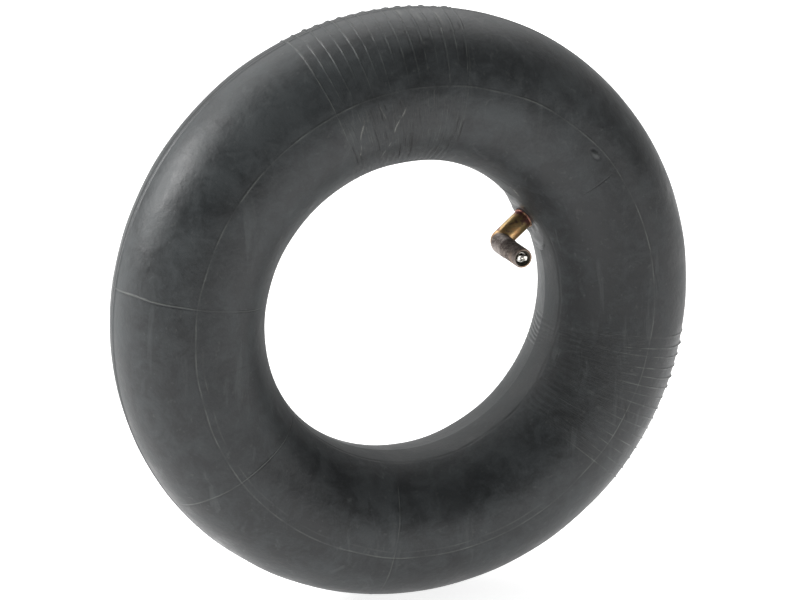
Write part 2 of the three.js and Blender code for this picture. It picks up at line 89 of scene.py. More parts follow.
# %% Grid meshes
def grid_piece(name, points, closed_rows=True, closed_columns=True, values=None):
    """A smooth mesh from points[row, column] in millimetres. values are float attributes of the points."""
    rows, columns = points.shape[:2]
    row = np.arange(rows if closed_rows else rows - 1)[:, None]
    column = np.arange(columns if closed_columns else columns - 1)[None, :]
    next_row, next_column = (row + 1) % rows, (column + 1) % columns
    corners = [row * columns + column, row * columns + next_column,
               next_row * columns + next_column, next_row * columns + column]
    faces = np.stack(np.broadcast_arrays(*corners), -1).reshape(-1, 4)
    a, b, c, d = (points.reshape(-1, 3)[faces[:, k]] for k in range(4))
    if (np.cross(b - a, c - a) * a).sum() + (np.cross(c - a, d - a) * a).sum() < 0:
        faces = faces[:, ::-1]
    mesh = bpy.data.meshes.new(name)
    mesh.from_pydata(points.reshape(-1, 3) * MM, [], faces.tolist())
    for key, value in (values or {}).items():
        flat = np.broadcast_to(value, (rows, columns)).astype(np.float32).ravel()
        mesh.attributes.new(key, "FLOAT", "POINT").data.foreach_set("value", flat)
    mesh.polygons.foreach_set("use_smooth", np.ones(len(mesh.polygons), bool))
    mesh.update()
    piece = bpy.data.objects.new(name, mesh)
    bpy.context.scene.collection.objects.link(piece)
    return piece


def peak(x, middle, width):
    """A smooth bump of height 1, about two widths wide at half its height."""
    return np.exp(-(((x - middle) / width) ** 2))


def fade(x, start, end):
    """0 before start, 1 after end, and smooth in between. start may be the greater."""
    t = np.clip((x - start) / (end - start), 0, 1)
    return t * t * (3 - 2 * t)


def waves(points, longest, shortest, count, seed):
    """Smooth random waves through space, about 1 high, with no seam anywhere. points are in millimetres."""
    chance = np.random.default_rng(seed)
    total = np.zeros(points.shape[:-1])
    for _ in range(count):
        way = chance.normal(size=3)
        way *= 2 * math.pi / np.exp(chance.uniform(math.log(shortest), math.log(longest))) / np.linalg.norm(way)
        total += np.sin(points @ way + chance.uniform(0, 2 * math.pi))
    return total / math.sqrt(count / 2)


# %% [markdown]
# ## The rubber ring
# The tube is moulded in halves that part at the outer and the side circumference, so thin lines of flash run round
# it, and plates in the mould leave a line across it every 45 degrees. Two stretches carry a comb of thin raised
# ribs, which let air escape while the tube is pressed into the tyre. The inner band, which sits in the rim, is
# flatter and is marked off by a crease. All of this is real height on one fine grid: the grid's rows and columns
# are spaced closer where a line runs and wider where the rubber is plain. A place on it is two angles in degrees:
# u goes round the ring, and v goes round its section, from 0 at the outside through 90 at the front.

# %% Grid lines where the detail is
def spaced(parts):
    """Values from (start, end, step) parts, joined."""
    return np.concatenate([np.linspace(a, b, max(1, round((b - a) / s)), endpoint=False) for a, b, s in parts])


PLAIN, CLOSE, CLOSEST = 0.6, 0.3, 0.1
fine_spans = [(20.0, 34.4, CLOSE), (34.4, 36.6, 0.11), (36.6, 49.0, CLOSE), (79.0, 115.5, CLOSEST),
              (169.3, 171.7, CLOSEST), (214.3, 216.7, CLOSEST), (259.8, 262.2, CLOSEST),
              (316.0, 352.0, CLOSEST)]
column_spans, here = [], 0.0
for start, end, step in fine_spans:
    if start > here:
        column_spans.append((here, start, PLAIN))
    column_spans.append((start, end, step))
    here = end
ring_angles = spaced(column_spans + [(here, 360.0, PLAIN)])
front_rows = spaced([(0, 8, 0.5), (8, 74, 2.0), (74, 90, 0.5), (90, 132, 1.2), (132, 152, 1.0), (152, 162, 0.5),
                     (162, 180, 2.0)])
section_angles = np.concatenate([-front_rows[:0:-1], front_rows, [180.0]])
print(len(ring_angles), "columns", len(section_angles), "rows")


# %% Points of the ring
def on_ring(u, v, height=0.0):
    """A point of the ring's surface, in millimetres, with a height above the plain round section."""
    u, v = np.radians(u), np.radians(v)
    radius = SECTION_R + height
    from_axis = RING_R + radius * np.cos(v)
    return np.stack(np.broadcast_arrays(from_axis * np.cos(u), -radius * np.sin(v), from_axis * np.sin(u)), -1)


u, v = np.meshgrid(ring_angles, section_angles)
side = np.abs(v)
plain = on_ring(u, v)
WOBBLE = (60, 18, 8, 5)
wobble = waves(plain, *WOBBLE)
patchy = waves(plain, 30, 8, 12, 8)
quick = waves(plain, 9, 3, 14, 12)
print("plain ring from", plain.min(axis=(0, 1)).round(1), "to", plain.max(axis=(0, 1)).round(1))

# %% [markdown]
# A tube that is only lightly blown up is never quite true, so slow waves lift and lower its whole surface. Its inner
# band is nearer to flat, because the rim held it, and less so beside the valve, where the base stiffens it.

# %% Unevenness and the inner band
CREASE = 157.0
BY_VALVE = (36, 17)


def unevenness(points):
    """How far the blown tube stands off from a true ring."""
    return 0.16 * waves(points, 160, 70, 7, 3) + 0.05 * waves(points, *WOBBLE)


def band_height(u, from_inside):
    """Height of the flatter inner band. from_inside is in radians of v from the inner circumference."""
    flatness = 0.38 * (1 - 0.75 * peak(u, *BY_VALVE))
    chord = SECTION_R * (math.cos(math.radians(180 - CREASE)) / np.cos(from_inside) - 1)
    return flatness * chord


band = fade(side, CREASE - 1.0, CREASE + 1.0)
height = unevenness(plain) + band_height(u, np.radians(180 - side).clip(0, 0.6)) * band
crease = peak(side, CREASE + 0.35 * wobble, 1.1) * np.clip(0.8 + 0.3 * patchy, 0.2, 1)
crease *= 1 - 0.7 * peak(u, *BY_VALVE)
height -= 0.16 * crease
print("band from v", CREASE, "lowest", round(float(height.min()), 2))

# %% Lines of flash round the ring
SIDE_LINE = 79.0
parting = peak(v, 0.9 + 0.2 * wobble, 1.3)
under_parting = peak(v, -3.6 + 0.3 * wobble, 1.5)
height += 0.34 * parting - 0.22 * under_parting
side_strength = np.clip(0.7 + 0.4 * patchy, 0.2, 1.1)
side_line = peak(side, SIDE_LINE + 0.35 * wobble, 0.40) * side_strength
side_groove = peak(side, SIDE_LINE - 1.15 + 0.35 * wobble, 0.5) * side_strength * np.sign(v).clip(0, 1)
second_line = peak(side, SIDE_LINE + 5.2 + 0.5 * wobble, 0.4) * fade(u, 176, 190) * fade(u, 318, 296)
second_line *= np.clip(0.4 + 0.5 * patchy, 0, 1)
height += 0.1 * side_line + 0.04 * second_line - 0.03 * side_groove
print("lines at v 0 and", SIDE_LINE)

# %% Lines across the ring, one for each plate of the mould
PLATE_LINES = {80.7: (0.3, 40, 112), 170.5: (1.0, -20, 156), 215.5: (0.7, -20, 125), 261.0: (0.65, 8, 125),
               350.5: (0.25, -20, 84)}
plates, plate_grooves = np.zeros((2, *u.shape))
for angle, (strength, low, high) in PLATE_LINES.items():
    reach = fade(side, low - 8, low + 4) * fade(side, high + 14, high)
    reach = reach * strength * np.clip(0.75 + 0.35 * patchy, 0.2, 1.15)
    plates += peak(u, angle + 0.10 * wobble, 0.12) * reach
    plate_grooves += 0.6 * peak(u, angle + 0.34 + 0.10 * wobble, 0.16) * reach
plate_grooves += 0.5 * peak(u, 35.5 + 0.1 * wobble, 0.13) * fade(side, 30, 24) * fade(side, 8, 12)
plate_grooves += 0.8 * peak(u, 35.5 + 0.1 * wobble, 0.15) * fade(side, 82, 88) * fade(side, 114, 104)
plate_grooves += 0.8 * peak(u, 215.5 + 0.1 * wobble, 0.2) * fade(side, 134, 140)
height += 0.14 * plates - 0.12 * plate_grooves
print(len(PLATE_LINES), "plate lines")

# %% [markdown]
# ## The combs of ribs
# Each comb is fifteen ribs at an even pitch that run from the outside over the shoulder. No two end at the same
# place, and between and past their ends the rubber is scored, cut and crumpled from folding. Each kind of mark is
# a function that draws from one chance generator, so that the ring comes out the same every time.

# %% The long ribs of a comb
RIBS, RIB_PITCH = 15, 2.325
LONGEST_RIB = 104
chance = np.random.default_rng(21)


def long_ribs(start, on_top):
    """The ribs of one comb: their height, how pale their tops are, and the grooves beside them."""
    ribs, tops, grooves = np.zeros((3, *u.shape))
    for k in range(RIBS):
        middle = start + RIB_PITCH * k + chance.normal(0, 0.08) + 0.05 * wobble
        strength = chance.uniform(0.7, 1.1)
        longest = on_top and k == RIBS - 1
        end = LONGEST_RIB if longest else chance.uniform(62, 80)
        middle = middle + chance.normal(0, 0.25) * (side / 90) ** 2
        profile = peak(u, middle, 0.13 + 0.05 * fade(side, 40, 10))
        reach = (0.30 + 0.70 * fade(side, 62, 25)) * (1.0 if on_top else 1.35)
        ribs += profile * strength * reach * fade(side, end + 4, end - 16)
        shown = 1.25 if longest else strength * chance.uniform(0.4, 1.0)
        if on_top:
            beside = fade(u, 104, 92) * fade(side, 10, 30) * fade(side, end, end - 30)
            grooves += 0.6 * peak(u, middle + 0.4, 0.16) * strength * beside
        else:
            shown, end = 1.3 * shown, chance.uniform(84, 116)
        tops += peak(u, middle, 0.09) * shown * fade(side, end + 6, end - 14)
    return ribs, tops, grooves


# %% Scores, cuts and folds in a comb
def short_marks(start, on_top):
    """Fine marks past the ends of the ribs: pale scores, and cuts that get painted shade."""
    scores, cuts = np.zeros((2, *u.shape))
    for _ in range(RIBS * (5 if on_top else 2)):
        middle = start + chance.uniform(-0.6, RIB_PITCH * (RIBS - 0.6))
        low, length = chance.uniform(80, 122), chance.uniform(6, 30)
        slant = (chance.normal(0, 0.014) - 0.01) * (side - low)
        mark = peak(u, middle + slant + 0.15 * wobble + 0.05 * quick, chance.uniform(0.08, 0.16))
        mark *= fade(side, low - 2, low + 2) * fade(side, low + length + 3, low + length - 4)
        if not on_top:
            scores += mark * chance.uniform(0.2, 0.5)
        elif chance.uniform() < 0.4:
            scores += mark * chance.uniform(0.3, 1.0)
        else:
            cuts += mark * chance.uniform(0.6, 1.6)
    return scores, cuts


def small_folds(start, on_top):
    """Crumpled rubber outside the crease, and in the lower comb on the inner band too."""
    zone = fade(u, start - 2.5, start) * fade(u, start + RIB_PITCH * RIBS + 1, start + RIB_PITCH * (RIBS - 1))
    folds = np.sin(np.radians(u * 170 + 240 * np.sin(np.radians(side * 2.4)) + 70 * patchy))
    crumpled = zone * fade(side, 130, 137) * fade(side, CREASE, CREASE - 6) * folds * (1.0 if on_top else 0.35)
    if not on_top:
        inner_folds = np.sin(np.radians(u * 190 + side * 14 + 80 * patchy)) * fade(side, 159, 163)
        crumpled += 0.5 * inner_folds * fade(u, 336, 339) * fade(u, 352, 348)
    return crumpled


# %% Both combs
TOP_COMB, LOW_COMB = 81.0, 350.5 - RIB_PITCH * (RIBS - 1)
ribs, rib_tops, scored, cuts, crumpled = np.zeros((5, *u.shape))
for start in (TOP_COMB, LOW_COMB):
    on_top = start == TOP_COMB
    raised_here, tops_here, grooves_here = long_ribs(start, on_top)
    scored_here, cuts_here = short_marks(start, on_top)
    ribs, rib_tops = ribs + raised_here, rib_tops + tops_here
    scored, cuts = scored + scored_here, cuts + grooves_here + cuts_here
    crumpled += small_folds(start, on_top)
ribs *= np.clip(0.9 + 0.2 * quick, 0.4, 1.2)
rib_tops *= np.clip(0.65 + 0.4 * quick, 0.1, 1.2)
scored *= np.clip(0.55 + 0.5 * quick, 0, 1)
cuts *= np.clip(0.65 + 0.4 * quick, 0, 1.2)
height += 0.42 * ribs + 0.08 * scored - 0.16 * np.minimum(cuts, 1.5) + 0.15 * crumpled
print(2 * RIBS, "ribs, highest", round(float(height.max()), 2))

# %% [markdown]
# Single marks are strokes from one place to another that fade at both ends: pale scuffs, which only change the
# colour, and shallow creases, which are real height and get painted shade as well. A moulded pip stands a little
# way from the valve.

# %% Strokes
DEGREE_RATIO = 1.9


def stroke(strength, from_u, from_v, to_u, to_v, width):
    """A line on the surface between two places. Its width is in degrees of v, and a degree of u is longer."""
    along_u, along_v = (to_u - from_u) * DEGREE_RATIO, to_v - from_v
    length = math.hypot(along_u, along_v)
    du, dv = (u - from_u) * DEGREE_RATIO, v - from_v
    along = (du * along_u + dv * along_v) / length
    across = (du * along_v - dv * along_u) / length
    line = peak(across + 0.4 * patchy, 0, width) * fade(along, -1, 2) * fade(along, length + 1, length - 3)
    return strength * line


# %% Scuffs, creases and the pip
SCUFFS = ((0.9, 97, 92, 100.6, 110, 0.3), (0.7, 101.2, 113, 105, 132, 0.3), (0.8, 108.4, 92, 111.6, 120, 0.3),
          (0.4, 103, 86, 102.4, 97, 0.25), (0.5, 90, 44, 89.4, 52, 0.25), (0.3, 85.5, 8, 84.5, 30, 0.5),
          (0.3, 89.5, 3, 88.6, 24, 0.7), (0.25, 92.5, 2, 92, 15, 0.6))
SPOTS = ((46.2, 158.5, 0.9), (47.6, 157.6, 0.6), (44.6, 159.6, 0.5), (49.5, 157.8, 0.4))
CREASES = ((1.0, 330, 75, 334, 86, 0.6), (0.5, 188, 85, 187, 120, 0.6), (0.7, 2, 76.5, 16, 80.5, 0.5))
PIP_U, PIP_V = 42.4, 84.0

scuffs = sum(stroke(*scuff) for scuff in SCUFFS) * np.clip(0.8 + 0.5 * quick, 0, 1)
for spot_u, spot_v, size in SPOTS:
    scuffs += peak(np.hypot((u - spot_u) * 1.1, v - spot_v), 0, size)
creases = sum(stroke(*one) for one in CREASES)
from_pip = np.hypot((u - PIP_U) * 1.55, v - PIP_V)
pip, pip_moat = peak(from_pip, 0, 1.5), peak(from_pip, 2.6, 0.7)
height += 0.5 * pip - 0.12 * pip_moat - 0.12 * creases
print(len(SCUFFS) + len(SPOTS), "scuffs and spots,", len(CREASES), "creases, a pip at", PIP_U, PIP_V)

# %% [markdown]
# Handling leaves broad patches where the rubber is dustier or cleaner than elsewhere. Some patches are painted light
# instead: painted highlight on the lit upper shoulder, and painted shade where the rubber faces away from the
# lights.
# Each is a soft blot of one value that the finish below reads, so the patches can be moved without touching the
# finish.

# %% Soft patches of dust and clean rubber, with painted highlight and painted shade
# The first list is dust and painted highlight, which make the rubber paler; the second is cleaner rubber and painted
# shade, which make it darker.
DUST_AND_HIGHLIGHT = ((150, 8, 30, 26, 0.9), (62, 82, 26, 20, 0.5), (88, 10, 8, 12, 0.9), (69, 96, 7, 7, 0.7),
         (300, 140, 30, 20, 0.3), (116, 54, 26, 20, 0.8), (150, 58, 20, 14, 0.6), (60, 52, 24, 18, 0.4),
         (345, 95, 14, 16, 0.3))
CLEAN_AND_SHADE = ((6, 115, 40, 34, 1.0), (230, 30, 44, 30, 0.5), (205, 62, 34, 20, 0.4), (350, 50, 26, 34, 1.0),
         (90, 125, 34, 24, 0.4), (285, 35, 24, 20, 0.6))
bloom_and_light = np.zeros_like(height)
for sign, patches in ((1, DUST_AND_HIGHLIGHT), (-1, CLEAN_AND_SHADE)):
    for at_u, at_v, wide_u, wide_v, strength in patches:
        off_u = (u - at_u + 180) % 360 - 180
        bloom_and_light += sign * strength * np.exp(-((off_u / wide_u) ** 2) - ((v - at_v) / wide_v) ** 2)
print("bloom from", round(float(bloom_and_light.min()), 2), "to", round(float(bloom_and_light.max()), 2))

# %% [markdown]
# Where the valve stands, the ring has a shallow bed for the rubber base, which is a piece of its own.

# %% The bed of the valve's base
PAD_ALONG, PAD_ACROSS = 15.6, 10.4
BED_DEPTH = 2.0
valve_u = math.degrees(VALVE_ANGLE)
bed_along = np.radians(u - valve_u) * INNER_R / PAD_ALONG
bed_across = np.radians(180 - side) * SECTION_R / PAD_ACROSS
height -= BED_DEPTH * fade(np.hypot(bed_along, bed_across), 0.9, 0.6)
print("bed", 2 * PAD_ALONG, "by", 2 * PAD_ACROSS, "at u", round(valve_u, 2))

# %% The ring's mesh
raised = np.clip(rib_tops + side_line + 0.5 * second_line + plates + 0.5 * scored + 0.3 * pip, 0, 1)
# Painted shade: the crease, grooves, cuts, creases, the pip's moat and the valleys of the folds are marked here to
# be darkened where shade falls.
hollow_shade = 0.7 * crease + 0.8 * under_parting + creases + plate_grooves + 1.2 * cuts + 0.35 * pip_moat
hollow_shade = np.clip(hollow_shade + 0.6 * side_groove + 0.45 * np.clip(-crumpled - 0.3, 0, 1), 0, 1)
combed = sum(fade(u, start - 1.5, start) * fade(u, start + RIB_PITCH * RIBS, start + RIB_PITCH * (RIBS - 1))
             for start in (TOP_COMB, LOW_COMB))
ring = grid_piece("rubber_ring", on_ring(u, v, height), values={
    "raised": raised, "hollow_shade": hollow_shade, "scuffed": np.clip(scuffs, 0, 1), "band": band, "dust_and_light": bloom_and_light,
    "combed": combed, "across": v / 10, "around": u / 10})
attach(ring, "tube")
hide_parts("tube_body")
print("rubber_ring", len(ring.data.vertices), "points, highest", round(float(height.max()), 2))


# %% [markdown]
# ## Finishes
# Every finish is built from shader nodes. This short helper adds a node, links the sockets it is given and sets the
# rest, so that a finish below reads as a list of what it is made of.

# %% Node helper
class Finish:
    """A material in the making: self.shader is its Principled node."""

    def __init__(self, name):
        self.material = bpy.data.materials.new(name)
        self.material.use_nodes = True
        self.tree = self.material.node_tree
        self.shader = self.tree.nodes["Principled BSDF"]
        self.place = self.add("TexCoord").outputs["Object"]

    def put(self, socket, value):
        if isinstance(value, bpy.types.NodeSocket):
            self.tree.links.new(value, socket)
        elif value is not None:
            socket.default_value = value

    def add(self, kind, *places, props=None, **named):
        node = self.tree.nodes.new("ShaderNode" + kind)
        for key, value in (props or {}).items():
            setattr(node, key, value)
        for index, value in enumerate(places):
            self.put(node.inputs[index], value)
        for key, value in named.items():
            self.put(node.inputs[key.replace("_", " ")], value)
        return node

    def noise(self, scale, detail=4.0, roughness=0.55, place=None, distortion=0.0):
        node = self.add("TexNoise", Scale=scale, Detail=detail, Roughness=roughness, Distortion=distortion,
                        Vector=place or self.place)
        return node.outputs["Fac"]

    def span(self, value, low, high, to_low=0.0, to_high=1.0):
        return self.add("MapRange", value, low, high, to_low, to_high).outputs[0]

    def sum(self, kind, first, second=None):
        return self.add("Math", first, second, props={"operation": kind}).outputs[0]

    def mix(self, share, first, second, kind="MIX"):
        node = self.add("Mix", props={"data_type": "RGBA", "blend_type": kind})
        self.put(node.inputs[0], share)
        self.put(node.inputs[6], (*first, 1) if isinstance(first, tuple) else first)
        self.put(node.inputs[7], (*second, 1) if isinstance(second, tuple) else second)
        return node.outputs[2]

    def over(self, colour, where, strength, tint):
        """Lays a tint over a colour, where a share says so and never by more than strength."""
        return self.mix(self.sum("MULTIPLY", where, strength), colour, tint)

    def value(self, name):
        return self.add("Attribute", props={"attribute_name": name}).outputs["Fac"]

    def bump(self, strength, distance, height, normal=None):
        node = self.add("Bump", Strength=strength, Distance=distance, Height=height)
        self.put(node.inputs["Normal"], normal)
        return node.outputs["Normal"]

    def wear(self, *pieces):
        for piece in pieces:
            piece.data.materials.clear()
            piece.data.materials.append(self.material)


# %% [markdown]
# ## Butyl rubber
# Butyl leaves the mould a satin dark grey. A dry bloom dulls it in soft patches, talc stays in the fine grain, and
# whatever stands proud is rubbed lighter. The colour mixes noises of three sizes, the crests take a paler dust, the
# grooves get painted shade, the ring's listed patches add painted highlight and painted shade, the inner band gets a
# grey that paints how lit it looks, and the grain is a shallow bump. Inside the two combs the grain is drawn out
# across the ring.

# %% Greys of the rubber
# The ring's paler grey is reached both by dust and by the painted highlight of the patches.
RING_DARK, RING_DUST_AND_LIGHT = (0.006, 0.0075, 0.0086), (0.038, 0.0435, 0.0455)
BASE_DARK, BASE_DUSTY = (0.011, 0.0125, 0.014), (0.060, 0.066, 0.067)
SMEAR, SPECK, STREAK = (0.070, 0.078, 0.078), (0.13, 0.14, 0.13), (0.055, 0.057, 0.053)
# The groove grey is painted shade for the hollows.
CREST_DUST, GROOVE_SHADE = (0.125, 0.134, 0.122), (0.002, 0.0025, 0.003)
# The band grey is painted light: it sets how lit the inner band looks.
SCUFF_PALE, BAND_SHADING_GREY = (0.22, 0.22, 0.20), (0.020, 0.023, 0.023)


# %% Marks that only the ring has
def mark_ring(f, colour, normal):
    """Lays streaks, pale crests, painted shade in grooves, scuffs and painted light on the band over a colour and a
    normal.
    """
    place = f.add("CombineXYZ", f.value("around"), f.value("across"), 0.0).outputs[0]
    drawn = f.add("Mapping", place, None, None, (38.0, 0.9, 1.0)).outputs[0]
    streaks = f.span(f.noise(1.0, 4, 0.65, drawn, 0.25), 0.46, 0.72)
    streaks = f.sum("MULTIPLY", streaks, f.value("combed"))
    past_shoulder = f.span(f.value("across"), 8.2, 8.8)
    streaks = f.sum("MULTIPLY", streaks, f.span(past_shoulder, 0, 1, 0.35, 1.0))
    broken = f.span(f.noise(260, 4, 0.7), 0.3, 0.62)
    crest = f.sum("MULTIPLY", f.value("raised"), f.span(broken, 0, 1, 0.45, 1))
    colour = f.over(colour, streaks, 0.35, STREAK)
    colour = f.over(colour, crest, 0.75, CREST_DUST)
    # Painted shade in the grooves, creases, cuts and folds.
    colour = f.over(colour, f.value("hollow_shade"), 0.85, GROOVE_SHADE)
    colour = f.over(colour, f.value("scuffed"), 0.85, SCUFF_PALE)
    # Painted light: a grey over the inner band sets how lit it looks.
    colour = f.over(colour, f.value("band"), 0.4, BAND_SHADING_GREY)
    return colour, f.bump(0.3, 0.0002, streaks, normal)


# %% Butyl rubber
def butyl(name, dark, dust_and_light, on_the_ring):
    f = Finish(name)
    patches = f.noise(30, 6, 0.65, distortion=0.6)
    cloud = f.noise(95, 8, 0.72, distortion=0.5)
    grain = f.noise(1100, 3, 0.6)
    bloom_and_light = f.sum("ADD", f.span(patches, 0.38, 0.64, 0, 0.45), f.span(cloud, 0.42, 0.62, 0, 0.55))
    bloom_and_light = f.sum("ADD", bloom_and_light, f.span(grain, 0.4, 0.8, -0.08, 0.12))
    rough = f.span(f.sum("ADD", cloud, patches), 0.75, 1.25, 0.36, 0.56)
    if on_the_ring:
        # On the ring the patches add dust and painted highlight, or cleaner rubber and painted shade.
        bloom_and_light = f.sum("ADD", bloom_and_light, f.span(f.value("dust_and_light"), -1, 1, -0.5, 0.5))
        rough = f.sum("ADD", rough, f.span(f.value("across"), 12.0, 15.2, 0, 0.2))
    colour = f.mix(f.span(bloom_and_light, 0, 1), dark, dust_and_light)
    smear_place = f.add("Mapping", f.place, None, (0.3, 0.5, 0.2), (1.0, 1.0, 0.16)).outputs[0]
    smears = f.span(f.noise(150, 4, 0.6, smear_place, 0.8), 0.60, 0.70)
    colour = f.over(colour, smears, 0.3, SMEAR)
    specks = f.span(f.noise(420, 2, 0.5), 0.66, 0.74)
    colour = f.over(colour, specks, 0.13 if on_the_ring else 0.5, SPECK)
    normal = f.bump(0.3, 0.0007, f.noise(230, 5, 0.6))
    normal = f.bump(0.22, 0.00012, grain, normal)
    if on_the_ring:
        colour, normal = mark_ring(f, colour, normal)
    f.put(f.shader.inputs["Base Color"], colour)
    f.put(f.shader.inputs["Roughness"], rough)
    f.put(f.shader.inputs["Normal"], normal)
    f.shader.inputs["Specular IOR Level"].default_value = 0.5
    return f


butyl("butyl_rubber", RING_DARK, RING_DUST_AND_LIGHT, on_the_ring=True).wear(ring)
print("butyl_rubber is on", ring.name)


# %% [markdown]
# ## The valve's own frame
# The valve is drawn with its mouth at the origin, its mouth leg going up Z and its root leg bending towards X. The
# bend was made cold over a small former, so its inside is nearly sharp, a crease shows at the side, and the outside
# is round. Each line along the stem is therefore two straight lines that meet on the mitre plane and are rounded
# there, tightly inside and widely outside, instead of one bend radius for the whole section.

# %% Points along the bent stem
TURN = math.pi / 2 - STEM_LEAN
MITRE = math.tan(TURN / 2)
BEND_REACH = 4.4
STEM_R = 4.05
TIGHT_ROUND, WIDER_BY = 0.9, 8.3
out = np.array([math.cos(VALVE_ANGLE), 0.0, math.sin(VALVE_ANGLE)])
VALVE_AXES = np.array([out, np.cross([0.0, 1.0, 0.0], out), [0.0, 1.0, 0.0]])
MOUTH = np.array([MOUTH_FROM_AXIS * out[0], MOUTH_Y, MOUTH_FROM_AXIS * out[2]])


def in_frame(points):
    return points @ VALVE_AXES + MOUTH


def along_stem(path, radius, angle):
    """Points of a body round the stem's axis, from arrays. path runs from the mouth over the bend."""
    path, radius, angle = np.broadcast_arrays(np.asarray(path, float), radius, angle)
    x, y = radius * np.cos(angle), radius * np.sin(angle)
    outward = (1 - np.cos(angle)) / 2
    rounding = (TIGHT_ROUND + WIDER_BY * outward**2.3) * np.clip(radius / STEM_R, 0.3, 1)
    tangent = rounding * MITRE
    mouth_line = np.stack([x, y, MOUTH_LEG - x * MITRE], -1)
    root_way = np.array([math.sin(TURN), 0, math.cos(TURN)])
    low, high = MOUTH_LEG - x * MITRE - tangent, x * MITRE + tangent
    share = np.clip((path - (MOUTH_LEG - BEND_REACH)) / (2 * BEND_REACH), 0, 1)
    into, turning = np.clip(share / 0.2, 0, 1), np.clip((share - 0.2) / 0.6, 0, 1)
    leaving = np.clip((share - 0.8) / 0.2, 0, 1)
    start = mouth_line - tangent[..., None] * np.array([0, 0, 1.0])
    finish = mouth_line + tangent[..., None] * root_way
    t = turning[..., None]
    bend = start * (1 - t) ** 2 + 2 * mouth_line * t * (1 - t) + finish * t**2
    straight = MOUTH_LEG - BEND_REACH + into * (low - MOUTH_LEG + BEND_REACH)
    before = np.stack([x, y, np.where(share > 0, straight, path)], -1)
    depart = high + leaving * (BEND_REACH - high) + np.maximum(path - MOUTH_LEG - BEND_REACH, 0)
    after = mouth_line + (depart - x * MITRE)[..., None] * root_way
    return np.where((into < 1)[..., None], before, np.where((leaving > 0)[..., None], after, bend))


print(f"the stem turns by {math.degrees(TURN):.0f} degrees, mouth at", MOUTH.round(2))

# %% [markdown]
# ## The stem
# The stem is one piece of brass bar, drilled, threaded and then bent. Its profile goes up the outside from the
# flange that sits in the rubber, over the collar, round the bend and along the cap thread to the mouth, and comes
# back down the bore past the core thread, the seat and the chamber. Turned round the bent axis as a grid that is
# closed both ways, it is a solid wall everywhere. The threads are real helices, cut as a height that climbs one
# pitch in each turn.

# %% The threads
CAP_THREAD = dict(root=3.43, crest=3.87, pitch=0.794)
CORE_THREAD = dict(root=2.31, crest=2.62, pitch=0.7056)


def thread(path, angle, root, crest, pitch):
    """Radius of a thread with rounded crests at a depth below the mouth."""
    turn = (path / pitch - angle / (2 * math.pi)) % 1.0
    ramp = 1 - np.abs(2 * turn - 1)
    return root + (crest - root) * np.clip(1.25 * ramp - 0.1, 0, 1)


print("a core turn is", CORE_THREAD["pitch"], "and a cap turn", CAP_THREAD["pitch"])

# %% The stem's profile, as depths below the mouth and radii
ROOT = MOUTH_LEG + ROOT_LEG
BEND_START, BEND_END = MOUTH_LEG - BEND_REACH, MOUTH_LEG + BEND_REACH
SPIGOT_R, FLANGE_R, COLLAR_R, LIP_R, CHAMFER_R, PASSAGE_R = 2.6, 6.0, 4.4, 3.66, 2.84, 1.6
foot = [(ROOT + 4.9, SPIGOT_R), (ROOT + 3.75, SPIGOT_R), (ROOT + 3.6, 2.75), (ROOT + 3.6, 5.8),
        (ROOT + 3.4, FLANGE_R), (ROOT + 2.6, FLANGE_R), (ROOT + 2.4, 5.8), (ROOT + 2.4, STEM_R)]
collar = [(ROOT, STEM_R), (ROOT, 4.25), (ROOT - 0.1, 4.37), (ROOT - 0.35, COLLAR_R), (ROOT - 0.5, 4.37),
          (ROOT - 0.62, 4.26), (ROOT - 0.7, 4.12), (ROOT - 0.75, STEM_R)]
shank = np.concatenate([np.arange(ROOT - 1.1, BEND_END, -0.25), np.linspace(BEND_END, BEND_START, 49),
                        np.arange(BEND_START - 0.3, 14.8, -0.4)])
outside = foot + collar + [(depth, STEM_R) for depth in shank]
cap_part = [(depth, "cap") for depth in np.arange(14.7, 0.3, -0.085)]
mouth_lip = [(0.22, LIP_R), (0.1, 3.56), (0.02, 3.42), (0.0, 3.28)]
mouth_chamfer = [(0.0, 3.08), (0.05, 2.98), (0.2, CHAMFER_R)]
core_part = [(depth, "core") for depth in np.arange(0.32, 9.6, 0.085)]
seat = [(9.8, 2.31), (11.8, 2.31), (12.0, 2.29), (13.1, 2.03), (19.8, 2.02), (20.4, 1.62)]
passage = [(depth, PASSAGE_R) for depth in np.linspace(BEND_START, BEND_END, 25)]
passage += [(ROOT, PASSAGE_R), (ROOT + 4.8, PASSAGE_R), (ROOT + 4.9, 1.7)]
outer_rows = outside + cap_part + mouth_lip
profile = outer_rows + mouth_chamfer + core_part + seat + passage
print(len(profile), "rows, root at", round(ROOT, 2))

# %% The stem's mesh
around = np.linspace(0, 2 * math.pi, 96, endpoint=False)[None, :]


def row_radius(depth, size):
    """The radius all round the stem at one row of its profile."""
    if size == "cap":
        run_out = fade(depth, 13.2, 14.7)
        cut = thread(depth, around[0], **CAP_THREAD) * (1 - run_out) + STEM_R * run_out
        return np.minimum(cut, LIP_R + (depth - 0.22) * 0.9)
    if size == "core":
        run_out = fade(depth, 9.0, 9.6)
        cut = thread(depth, around[0], **CORE_THREAD) * (1 - run_out) + CORE_THREAD["root"] * run_out
        return np.maximum(cut, CHAMFER_R - (depth - 0.2) * 1.1)
    return np.full(around.size, size)


path = np.array([depth for depth, _ in profile])[:, None]
radius = np.stack([row_radius(depth, size) for depth, size in profile])
in_bore = (np.arange(len(profile)) >= len(outer_rows))[:, None]
stem = grid_piece("stem", in_frame(along_stem(path, radius, around)), values={"along": path, "bore": in_bore})
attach(stem, "tube")
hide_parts("valve_stem")
print("stem", len(stem.data.vertices), "points")


